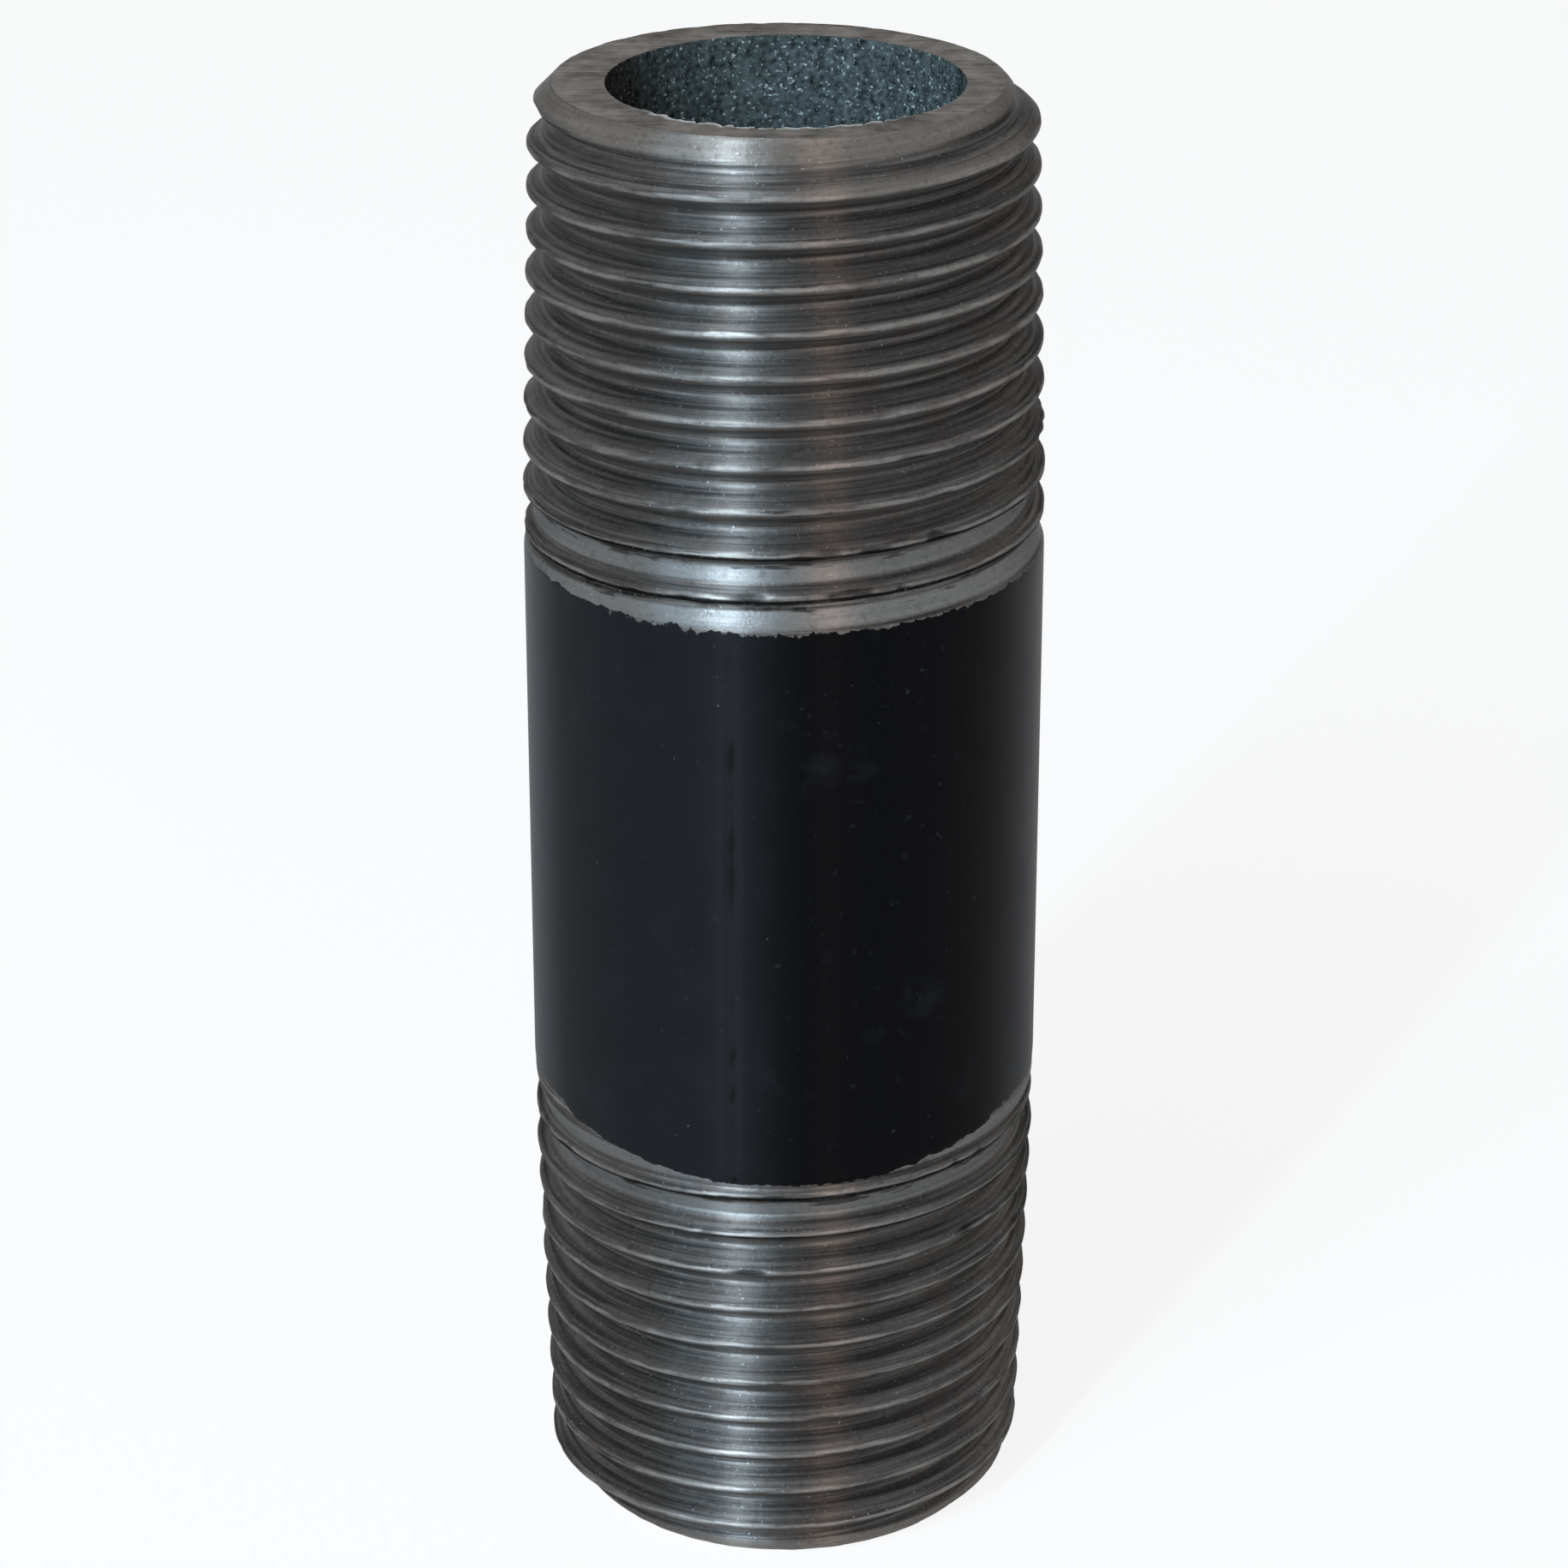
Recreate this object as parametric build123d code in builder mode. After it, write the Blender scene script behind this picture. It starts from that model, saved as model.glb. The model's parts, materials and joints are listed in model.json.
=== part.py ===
from build123d import *

# Welded steel pipe nipple, nominal 1/2 in bore and 2-1/2 in long. Each end is sawn
# square, bevelled and cut with a right-hand tapered pipe thread, and the plain pipe is
# left between the two threads. Lengths are in millimetres. The origin is the centre of
# the lower end face and +Z runs up the bore.

import os
from math import atan, ceil, cos, degrees, radians, tan

INCH = 25.4

# Pipe
LENGTH = 2.5 * INCH
OUTER_DIAMETER = 21.76
WALL = 3.46

# Tapered pipe thread, 14 turns to the inch on a 1:16 cone
PITCH = INCH / 14
TAPER_ON_DIAMETER = 1 / 16
CREST_DIAMETER_AT_END = 20.72
THREAD_DEPTH = 1.26
FLANK_ANGLE = 60.0

# The cutting die's throat lifts its teeth out of the pipe, so the last grooves are wide
# and shallow and the cut leaves the surface at THREADED_LENGTH from the end face
THREADED_LENGTH = 19.5
THROAT_ANGLE = 17.5

# Sawn ends
END_FACE_DIAMETER = 18.3
BEVEL_ANGLE = 45.0

# Distance from each end face to the root of its first groove, on the +X side
FIRST_GROOVE_LOWER = 1.59
FIRST_GROOVE_UPPER = 0.62

# The teeth stand this far outside the finished crests
TOOTH_CLEARANCE = 0.07

outer_radius = OUTER_DIAMETER / 2
bore_radius = outer_radius - WALL
end_face_radius = END_FACE_DIAMETER / 2
crest_radius_at_end = CREST_DIAMETER_AT_END / 2
cone_slope = TAPER_ON_DIAMETER / 2
cone_half_angle = degrees(atan(cone_slope))

# Where the bevel meets the crest cone, and where that cone meets the plain pipe
bevel_slope = 1 / tan(radians(BEVEL_ANGLE))
bevel_length = (crest_radius_at_end - end_face_radius) / (bevel_slope - cone_slope)
bevel_radius = end_face_radius + bevel_length * bevel_slope
cone_length = (outer_radius - crest_radius_at_end) / cone_slope

# Section of one cutting tooth, a sharp V
tooth_height = THREAD_DEPTH + TOOTH_CLEARANCE
tooth_half_width = tooth_height * tan(radians(FLANK_ANGLE / 2))
throat_slope = tan(radians(THROAT_ANGLE))


def root_radius(distance):
    """Radius of the full-depth root at a distance from the end face."""
    return crest_radius_at_end - THREAD_DEPTH + distance * cone_slope


def throat_radius(distance):
    """Radius that the throat lets the teeth reach at a distance from the end face."""
    return outer_radius - (THREADED_LENGTH - distance) * throat_slope


def tapered_turn(radius, distance):
    """One turn of the thread's helix, climbing the 1:16 cone from a point on the +X side."""
    return Helix(
        pitch=PITCH / cos(radians(cone_half_angle)),
        height=PITCH,
        radius=radius,
        center=(0, 0, distance),
        cone_angle=cone_half_angle,
    )


def tooth_turn(distance):
    """One turn of the 60 degree cutting tooth, whose point starts at this distance.

    Its three corners follow parallel helices, its sides are ruled between them, and its
    ends are flat, so each turn meets the next one face to face.
    """
    point = root_radius(distance)
    back = point + tooth_height
    corners = [
        tapered_turn(point, distance).edge(),
        tapered_turn(back, distance - tooth_half_width).edge(),
        tapered_turn(back, distance + tooth_half_width).edge(),
    ]
    sides = [
        Face.make_surface_from_curves(corner, following)
        for corner, following in zip(corners, corners[1:] + corners[:1])
    ]
    ends = [
        Face(Wire.make_polygon([corner @ position for corner in corners], close=True))
        for position in (0, 1)
    ]
    return Solid(Shell(sides + ends))


def cutting_teeth(first_groove, throat_core):
    """All the turns that cut one end, trimmed where the throat holds them off the pipe."""
    turns_before_face = ceil((first_groove + tooth_half_width) / PITCH)
    turns_to_run_out = ceil((THREADED_LENGTH + tooth_half_width - first_groove) / PITCH)
    teeth = []
    for turn in range(-turns_before_face, turns_to_run_out):
        distance = first_groove + turn * PITCH
        tooth = tooth_turn(distance)
        if throat_radius(distance + PITCH + tooth_half_width) > root_radius(distance):
            tooth = tooth - throat_core
        teeth.append(tooth)
    return teeth


# Solid core that the throat keeps the teeth out of, drawn well past the run-out
with BuildPart() as throat:
    core_start = THREADED_LENGTH - (outer_radius - bore_radius) / throat_slope
    core_end = THREADED_LENGTH + 3 * PITCH
    with BuildSketch(Plane.XZ):
        with BuildLine():
            Polyline(
                (0, core_start),
                (throat_radius(core_start), core_start),
                (throat_radius(core_end), core_end),
                (0, core_end),
                close=True,
            )
        make_face()
    revolve(axis=Axis.Z)

lower_teeth = cutting_teeth(FIRST_GROOVE_LOWER, throat.part)

# Turned end for end, so the upper thread stays right-hand
other_end = Location((0, 0, LENGTH), (180, 0, 0))
upper_teeth = [
    tooth.moved(other_end) for tooth in cutting_teeth(FIRST_GROOVE_UPPER, throat.part)
]

with BuildPart() as pipe_nipple:
    # Pipe wall with its bevels and the cones that the crests will lie on
    with BuildSketch(Plane.XZ):
        with BuildLine():
            Polyline(
                (bore_radius, 0),
                (end_face_radius, 0),
                (bevel_radius, bevel_length),
                (outer_radius, cone_length),
                (outer_radius, LENGTH - cone_length),
                (bevel_radius, LENGTH - bevel_length),
                (end_face_radius, LENGTH),
                (bore_radius, LENGTH),
                close=True,
            )
        make_face()
    revolve(axis=Axis.Z)

    # The thread grooves, one turn after another from each end
    for tooth in lower_teeth + upper_teeth:
        add(tooth, mode=Mode.SUBTRACT)

pipe_nipple.part.label = "pipe_nipple"

os.makedirs("parts", exist_ok=True)
export_step(pipe_nipple.part, "parts/pipe_nipple.step")
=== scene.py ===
"""Pipe nipple: the looks of a short steel pipe with a tapered thread on each end."""

import json
import logging
import math
from dataclasses import dataclass, field
from enum import Enum
from typing import ClassVar

import bpy
import numpy as np
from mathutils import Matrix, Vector


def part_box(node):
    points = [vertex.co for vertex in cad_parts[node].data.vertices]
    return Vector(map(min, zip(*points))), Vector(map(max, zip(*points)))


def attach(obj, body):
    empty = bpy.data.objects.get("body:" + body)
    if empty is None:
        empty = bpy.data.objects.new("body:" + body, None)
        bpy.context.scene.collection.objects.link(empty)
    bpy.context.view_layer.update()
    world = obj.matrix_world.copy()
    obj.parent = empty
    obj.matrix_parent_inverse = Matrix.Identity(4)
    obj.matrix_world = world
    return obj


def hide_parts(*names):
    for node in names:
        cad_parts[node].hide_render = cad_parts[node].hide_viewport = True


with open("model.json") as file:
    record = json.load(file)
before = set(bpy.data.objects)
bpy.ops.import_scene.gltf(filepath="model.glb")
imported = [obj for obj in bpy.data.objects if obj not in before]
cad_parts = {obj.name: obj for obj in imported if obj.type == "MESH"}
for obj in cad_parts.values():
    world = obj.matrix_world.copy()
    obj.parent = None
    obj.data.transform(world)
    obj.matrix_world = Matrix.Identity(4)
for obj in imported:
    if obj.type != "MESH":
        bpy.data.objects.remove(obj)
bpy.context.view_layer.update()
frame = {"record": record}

NODE = "pipe_nipple"
MM = 0.001
INCH = 25.4

# Where the front of the nipple lies, in degrees about its axis from +X
FRONT = -90.0

Array = np.ndarray
Span = tuple[float, float]
Tree = bpy.types.NodeTree
Socket = bpy.types.NodeSocket

log = logging.getLogger("pipe_nipple")


class End(Enum):
    """The two ends of the nipple. Their values tell their random seeds apart."""

    UPPER = 0
    LOWER = 1


class Zone(Enum):
    """The surfaces, each left by a tool of its own, in the order of the material slots."""

    OUTSIDE = 0
    SAWN_FACE = 1
    BORE = 2


def to_linear(hex_colour: str) -> tuple[float, float, float, float]:
    """Turns an sRGB hex colour into linear RGBA.

    Args:
        hex_colour: Six hex digits with a leading hash.

    Returns:
        The linear red, green and blue, and an alpha of one.
    """
    channels = [int(hex_colour[i:i + 2], 16) / 255 for i in (1, 3, 5)]
    linear = [c / 12.92 if c <= 0.04045 else ((c + 0.055) / 1.055) ** 2.4 for c in channels]
    return (linear[0], linear[1], linear[2], 1.0)


def smoothstep(low: float, high: float, value: Array) -> Array:
    """Eases from 0 where a value is at low to 1 where it is at high."""
    t = np.clip((value - low) / (high - low), 0.0, 1.0)
    return t * t * (3.0 - 2.0 * t)


def soft_min(a: Array, b: Array, blend: float) -> Array:
    """Takes the smaller value, rounded below where the two are less than blend apart."""
    near = np.clip(1.0 - np.abs(a - b) / blend, 0.0, 1.0)
    return np.minimum(a, b) - near * near * blend / 4


def angle_from(theta: Array, centre: float) -> Array:
    """Turns angles in radians into degrees from a centre, itself in degrees from the front."""
    return (np.degrees(theta) - FRONT - centre + 180.0) % 360.0 - 180.0


def beside(theta: Array, centre: float, full: float, gone: float) -> Array:
    """Is 1 within full degrees of a direction and eases to 0 at gone degrees from it."""
    return 1.0 - smoothstep(full, gone, np.abs(angle_from(theta, centre)))


@dataclass(frozen=True)
class WrappedNoise:
    """Smooth seeded noise on the unrolled pipe, with no seam around it.

    Args:
        seed: Seed of the random values.
        cell_around: Size of a cell around the pipe in degrees.
        cell_along: Size of a cell along the pipe in mm.
    """

    cells_along: ClassVar[int] = 512
    first_cell: ClassVar[float] = 64.0
    seed: int
    cell_around: float
    cell_along: float = 1.0

    def sample(self, theta: Array, z: Array) -> Array:
        """Reads the noise.

        Args:
            theta: Angles about the axis in radians.
            z: Heights in mm.

        Returns:
            Values between -1 and 1.
        """
        cells_around = max(4, round(360.0 / self.cell_around))
        size = (cells_around, self.cells_along)
        table = np.random.default_rng(self.seed).uniform(-1.0, 1.0, size)
        around = (theta / (2 * math.pi)) % 1.0 * cells_around
        along = z / self.cell_along + self.first_cell
        left, below = np.floor(around).astype(int), np.floor(along).astype(int)
        across = smoothstep(0.0, 1.0, around - left)
        up = smoothstep(0.0, 1.0, along - below)
        right, above = (left + 1) % cells_around, (below + 1) % self.cells_along
        left, below = left % cells_around, below % self.cells_along
        low = table[left, below] * (1 - across) + table[right, below] * across
        high = table[left, above] * (1 - across) + table[right, above] * across
        return low * (1 - up) + high * up

    def ring(self, theta: Array) -> Array:
        """Reads the noise around one ring, as values between -1 and 1."""
        return self.sample(theta, np.zeros_like(theta))


@dataclass(frozen=True)
class TaperThread:
    """A 14 per inch tapered pipe thread with its run-out, measured from an end face in mm.

    The flanks, the cone and the throat are slopes: mm of radius for each mm along the axis.
    """

    outer_radius: float
    pitch: float = INCH / 14
    cone_slope: float = 1 / 32
    crest_radius_at_end: float = 10.36
    sharp_depth: float = 1.36
    root_round: float = 0.28
    crest_round: float = 0.05
    crest_blend: float = 0.10
    threaded_length: float = 19.5
    throat_slope: float = math.tan(math.radians(17.5))
    flank: float = math.tan(math.radians(60))
    floor_row: float = 0.62
    rows: int = 12

    @property
    def root_reach(self) -> float:
        """How far the rounded root reaches to each side, where it meets the flanks."""
        return self.root_round * math.cos(math.radians(30))

    def apex(self, distance: Array) -> Array:
        """Radius where the two flanks would meet."""
        return self.crest_radius_at_end - self.sharp_depth + distance * self.cone_slope

    def crest(self, distance: Array) -> Array:
        """Radius of the crests, which stop at the pipe's own surface."""
        return np.minimum(self.crest_radius_at_end + distance * self.cone_slope, self.outer_radius)

    def throat(self, distance: Array) -> Array:
        """Radius that the die's throat leaves near the run-out."""
        return self.outer_radius - (self.threaded_length - distance) * self.throat_slope

    def cut(self, groove: Array, offset: Array) -> Array:
        """Radius that the die leaves in a groove.

        Args:
            groove: Distance of the groove's middle from the end face.
            offset: Distance from the groove's middle, away from the end face.

        Returns:
            The cut radius, before crests and bevel limit it.
        """
        apex = self.apex(groove)
        aside = np.abs(offset)
        inside = np.clip(aside, 0.0, self.root_reach)
        rounded = apex + 2 * self.root_round - np.sqrt(self.root_round ** 2 - inside ** 2)
        vee = np.where(aside < self.root_reach, rounded, apex + aside * self.flank)
        return np.maximum(vee, self.throat(groove + offset))

    def row_offsets(self, groove: Array) -> Array:
        """Places one pitch of mesh rows on the corners of the thread's section.

        Args:
            groove: Distances of the groove's middle from the end face.

        Returns:
            An array with one more axis, of the rows' offsets from the groove's middle,
            positive away from the end face.
        """
        corner = self.crest_round
        narrowest, gap = 5 * corner, 3 * corner
        apex = self.apex(groove)
        crest = self.crest(groove)
        throat = self.throat(groove)
        rise = np.clip(throat - apex, 0.0, None)
        near = (crest - apex) / self.flank
        far = np.minimum(near, np.clip((crest - throat) / self.throat_slope, narrowest, None))
        floor_near = np.clip(rise / (self.flank + self.throat_slope), self.root_reach, near - gap)
        floor_far = np.maximum(rise / (self.flank - self.throat_slope), self.root_reach)
        floor_far = np.minimum(floor_far, far - gap)
        rows = [
            np.full_like(groove, -self.pitch / 2),
            -near - corner,
            -near + corner,
            -(near + floor_near) / 2,
            -floor_near,
            -floor_near / 2,
            (floor_far - floor_near) / 4,
            floor_far * self.floor_row,
            floor_far,
            (far + floor_far) / 2,
            far - corner,
            far + corner,
        ]
        return np.stack(rows, axis=-1)


@dataclass(frozen=True)
class SawnEnd:
    """One sawn and bevelled end, in mm, with distances from its end face."""

    first_groove: float
    face_radius: float
    bevel_shift: Span
    bevel_oval: float
    lacquer_edge: float
    lacquer_dip: float
    bevel_slope: float = 1.0
    face_inset: float = 0.06
    deepest_dip: float = 1.4

    def rim(self, theta: Array) -> Array:
        """Radius of the flat face's outer edge, whose bevel was cut oval and off centre."""
        shift = self.bevel_shift[0] * np.cos(theta) + self.bevel_shift[1] * np.sin(theta)
        return self.face_radius + shift + self.bevel_oval * np.cos(2 * theta)

    def lacquer_start(self, theta: Array) -> Array:
        """Distance from the end face at which the lacquer starts."""
        dip = self.lacquer_dip * (1.0 + np.sin(theta))
        return self.lacquer_edge + np.clip(dip, -self.deepest_dip, self.deepest_dip)


@dataclass
class NippleOutside:
    """The outside of the pipe: both threads and the plain pipe between, as helical rows.

    The rows follow the threads' helix, so a crest is one unbroken row, and in the plain
    pipe the helix steepens until it is in step with the other end's thread. Clear and even
    are in pitches past the threaded length, and plain is in mm past it.
    """

    thread: TaperThread
    ends: dict[End, SawnEnd]
    length: float
    columns: int = 256
    first_turn: int = -2
    plain_turns: int = 3
    clear: float = 0.4
    even: Span = (0.3, 0.9)
    plain: Span = (0.0, 0.4)
    theta: Array = field(init=False)

    def __post_init__(self) -> None:
        """Spaces the columns evenly around the pipe."""
        self.theta = np.arange(self.columns) * 2 * math.pi / self.columns

    def from_end(self, end: End, z: Array) -> Array:
        """Turns a height into a distance from an end face, or such a distance into a height."""
        return z if end is End.LOWER else self.length - z

    def knots(self) -> tuple[int, float, int, float]:
        """Finds where the helix steepens and where it is in step with the upper thread.

        Returns:
            Turn and height where the plain stretch starts, and turn and height where it ends.
        """
        pitch = self.thread.pitch
        clear = self.thread.threaded_length + self.clear * pitch
        low = self.ends[End.LOWER].first_groove
        low_turn = math.ceil((clear - low) / pitch)
        high = self.length - self.ends[End.UPPER].first_groove
        back = math.ceil((high - (self.length - clear)) / pitch)
        return low_turn, low + low_turn * pitch, low_turn + self.plain_turns, high - back * pitch

    def height(self, turn: Array) -> Array:
        """Follows the master helix up the pipe.

        Args:
            turn: Turns from the first lower groove.

        Returns:
            Heights in mm.
        """
        start, low, stop, high = self.knots()
        pitch = self.thread.pitch
        plain = low + (turn - start) * (high - low) / (stop - start)
        below = low + (turn - start) * pitch
        above = high + (turn - stop) * pitch
        return np.where(turn < start, below, np.where(turn > stop, above, plain))

    def grid(self) -> dict[str, Array]:
        """Works out every row and column of the outside.

        Returns:
            Arrays by name, each of rows by columns: z, radius, distance (from the nearer
            thread's end face), cut (how deep the die cut), and the marks root and down.
        """
        start, low, stop, high = self.knots()
        thread = self.thread
        pitch = thread.pitch
        last = int(stop + math.ceil((self.length - high) / pitch)) + 1
        whole = np.repeat(np.arange(self.first_turn, last), thread.rows)
        part = np.tile(np.arange(thread.rows), last - self.first_turn)
        turn = whole[:, None] + (self.theta / (2 * math.pi))[None, :]
        centre = self.height(turn)
        upper = turn > (start + stop) / 2
        groove = np.where(upper, self.length - centre, centre)
        offsets = thread.row_offsets(groove)
        mirrored = -offsets[..., ::-1]
        mirrored = np.concatenate([mirrored[..., -1:] - pitch, mirrored[..., :-1]], axis=-1)
        offsets = np.where(upper[..., None], mirrored, offsets)
        pick = np.broadcast_to(part[:, None, None], groove.shape + (1,))
        offset = np.take_along_axis(offsets, pick, -1)[..., 0]
        spread = (part[:, None] / thread.rows - 0.5) * pitch
        first_even, all_even = (share * pitch for share in self.even)
        fade = smoothstep(first_even, all_even, groove - thread.threaded_length)
        offset = offset * (1 - fade) + spread * fade
        z = self.height(turn + offset / pitch)
        distance = np.where(upper, self.length - z, z)
        cut = thread.cut(groove, np.where(upper, -offset, offset))
        crest = thread.crest(distance)
        radius = soft_min(cut, crest, thread.crest_blend)
        plain = smoothstep(*self.plain, distance - thread.threaded_length)
        radius = radius * (1 - plain) + crest * plain
        phase = 2 * math.pi * (offset / pitch)
        return {
            "z": z,
            "radius": radius,
            "distance": distance,
            "cut": crest - radius,
            "root": np.cos(phase),
            "down": np.sin(phase),
        }


@dataclass(frozen=True)
class ThreadWear:
    """What handling and a worn die left on the outside, in mm and in degrees from the front.

    A span is where a change starts and where it is done. Those of crest_cut are depths of
    cut, run_out's are past the threaded length, bevel_edge's outside the bevel's cone and
    lacquer_fade's past the lacquer's edge. Those of rub, film_fade and lip_ends are angles,
    as seam_width is, and the others are distances from the end face. A level is the middle
    that a noise swings about.
    """

    outside: NippleOutside
    crest_cut: Span = (0.02, 0.30)
    run_out: Span = (-0.4, 0.0)
    coarse: WrappedNoise = WrappedNoise(11, 14.0, 0.7)
    fine: WrappedNoise = WrappedNoise(12, 4.0, 0.3)
    coarse_share: float = 0.8
    fine_share: float = 0.7
    sound: float = 0.35
    early_tears: float = 0.30
    tears: Span = (8.0, 16.5)
    tear_depth: float = 0.10
    wave: float = 0.012
    late: Span = (8.0, 17.0)
    last: Span = (15.9, 16.8)
    bevel_edge: Span = (-0.02, 0.05)
    bevel_noise: WrappedNoise = WrappedNoise(13, 3.0, 0.2)
    bevel_roughness: float = 0.012
    bevel_blend: float = 0.06
    chips: WrappedNoise = WrappedNoise(14, 3.5, 0.8)
    small_chips: WrappedNoise = WrappedNoise(15, 1.5, 0.4)
    small_chip_share: float = 0.5
    chip_size: float = 0.09
    lacquer_fade: Span = (-0.25, 0.25)
    lacquer_step: float = 0.03
    step: Span = (17.0, 18.5)
    seam_angle: float = -11.25
    seam_width: float = 1.8
    seam_depth: float = 0.05
    pits: WrappedNoise = WrappedNoise(16, 90.0, 0.5)
    pit_level: float = 0.5
    pit_groups: WrappedNoise = WrappedNoise(17, 90.0, 3.0)
    group_level: float = 0.7
    least_pit: float = 0.40
    rub_and_sheen: Span = (48.0, 85.0)
    film: float = 0.2
    film_fade: Span = (-1.0, 16.0)
    rim_burr_width: float = 0.02
    lip_angle: float = 195.0
    lip_ends: Span = (30.0, 60.0)
    lip_height: float = 0.012
    lip_burr: float = 0.03
    lip_level: float = 0.5
    highest_lip: float = 0.038

    def worn(self, grid: dict[str, Array], theta: Array) -> dict[str, Array]:
        """Bevels and wears the clean threads.

        Args:
            grid: The outside's arrays.
            theta: Angle of each point in radians.

        Returns:
            The arrays with the worn radius, and with the marks bare, bevel, late, last,
            rubbed, seam and tear added.
        """
        outside = self.outside
        z, radius, distance = grid["z"], grid["radius"], grid["distance"]
        threaded = 1.0 - smoothstep(*self.run_out, distance - outside.thread.threaded_length)
        crest = 1.0 - smoothstep(*self.crest_cut, grid["cut"])
        fine = self.fine.sample(theta, z)
        torn = self.coarse.sample(theta, z) * self.coarse_share + fine * self.fine_share
        most = self.early_tears + (1 - self.early_tears) * smoothstep(*self.tears, distance)
        torn = np.clip(torn - self.sound, 0.0, 1.0) * most
        radius = radius - crest * threaded * (self.tear_depth * torn + self.wave * (1 + fine))
        rough = self.bevel_roughness * self.bevel_noise.sample(theta, z)
        chips = self.chips.sample(theta, z)
        chips = chips + self.small_chip_share * self.small_chips.sample(theta, z)
        bevel = np.zeros_like(z)
        bare = np.zeros_like(z)
        for end, sawn in outside.ends.items():
            here = outside.from_end(end, z)
            cone = sawn.rim(theta) + (here - sawn.face_inset) * sawn.bevel_slope
            bevel = np.maximum(bevel, smoothstep(*self.bevel_edge, radius - cone))
            radius = soft_min(radius, cone + rough, self.bevel_blend)
            past = here - sawn.lacquer_start(theta) - self.chip_size * chips
            bare = np.maximum(bare, 1.0 - smoothstep(*self.lacquer_fade, past))
        radius = radius - self.lacquer_step * bare * smoothstep(*self.step, distance)
        pits = np.clip(self.pits.sample(theta, z) + self.pit_level, 0.0, 1.0)
        pits = pits * np.clip(self.pit_groups.sample(theta, z) + self.group_level, 0.0, 1.0)
        seam = beside(theta, self.seam_angle, 0.0, self.seam_width)
        seam = seam * np.maximum(pits, self.least_pit) * (1.0 - bare)
        return {
            **grid,
            "radius": radius - self.seam_depth * seam,
            "bare": bare,
            "bevel": bevel,
            "late": smoothstep(*self.late, distance) * threaded,
            "last": smoothstep(*self.last, distance),
            "rubbed_and_sheen": self.rubbed_and_sheen(theta),
            "seam": seam,
            "tear": torn * crest * threaded,
        }

    def rubbed_and_sheen(self, theta: Array) -> Array:
        """How much the lacquer is greyed, partly by handling and partly by painted sheen: most at the
        sides, a film left of the seam.

        Args:
            theta: Angles about the axis in radians.

        Returns:
            Values from 0 to 1.
        """
        # Greyer towards the sides seen from the front: partly handling, partly a painted rim sheen
        sides = smoothstep(*self.rub_and_sheen, np.abs(angle_from(theta, 0.0)))
        film = 1.0 - smoothstep(*self.film_fade, angle_from(theta, self.seam_angle))
        return np.maximum(sides, self.film * film)

    def rim_burr(self, end: End, theta: Array) -> Array:
        """How far the rim's burr stands out, in mm."""
        return self.rim_burr_width * WrappedNoise(21 + end.value, 2.5).ring(theta)

    def rim_lip(self, end: End, theta: Array) -> Array:
        """How far the rim's burr stands above the sawn face, in mm."""
        burr = self.lip_burr * beside(theta, self.lip_angle, *self.lip_ends) * (
            self.lip_level + WrappedNoise(23 + end.value, 3.0).ring(theta)
        )
        return np.clip(self.lip_height + burr, 0.0, self.highest_lip)


@dataclass(frozen=True)
class MillScaleBore:
    """The bore's scaled wall and the sawn faces around it, in mm.

    The face's rings lie at shares of the way from the rim to the bore's edge, angles are in
    degrees, and a level is the middle that a noise swings about.
    """

    radius: float
    shift: float = 0.075
    rings: int = 46
    edge_step: float = 0.10
    scale_height: float = 0.05
    scale_level: float = 0.5
    coarse: WrappedNoise = WrappedNoise(31, 7.0, 1.3)
    coarse_share: float = 0.3
    fine: WrappedNoise = WrappedNoise(32, 3.2, 1.0)
    fine_share: float = 0.2
    edge_gap: float = 0.03
    burr_width: float = 0.2
    width_level: float = 0.7
    burr_height: float = 0.09
    height_level: float = 0.6
    highest_burr: float = 0.058
    burr_angle: float = -5.0
    burr_ends: Span = (35.0, 60.0)
    saw_depth: float = 0.006
    face_rings: tuple[float, ...] = (0.03, 0.25, 0.5, 0.72, 0.84)

    def wall(self, theta: Array, z: Array) -> Array:
        """Radius of the scaled wall, never wider than the bore's own size."""
        coarse, fine = self.coarse.sample(theta, z), self.fine.sample(theta, z)
        return self.radius - self.shift - self.scale_height * (
            self.scale_level + self.coarse_share * coarse + self.fine_share * fine
        )

    def burred(self, theta: Array) -> Array:
        """Is 1 at the front, where the saw left a burr on the bore's edge, and 0 elsewhere."""
        return beside(theta, self.burr_angle, *self.burr_ends)

    def edge_radius(self, end: End, theta: Array) -> Array:
        """Radius of the bore's sharp edge, with the burr that the saw left."""
        burr = np.clip(WrappedNoise(33 + end.value, 2.2).ring(theta) + self.width_level, 0.0, 1.0)
        return self.radius - self.shift - self.edge_gap - self.burred(theta) * self.burr_width * burr

    def edge_lip(self, end: End, theta: Array) -> Array:
        """How far the bore's burr stands above the sawn face."""
        burr = WrappedNoise(35 + end.value, 2.0).ring(theta) + self.height_level
        return np.clip(self.burred(theta) * self.burr_height * burr, 0.0, self.highest_burr)

    def saw_marks(self, end: End, radius: Array, theta: Array) -> Array:
        """How far the saw left the face below its highest marks."""
        return self.saw_depth * (1 + WrappedNoise(37 + end.value, 6.0, 0.6).sample(theta, radius))


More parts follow.
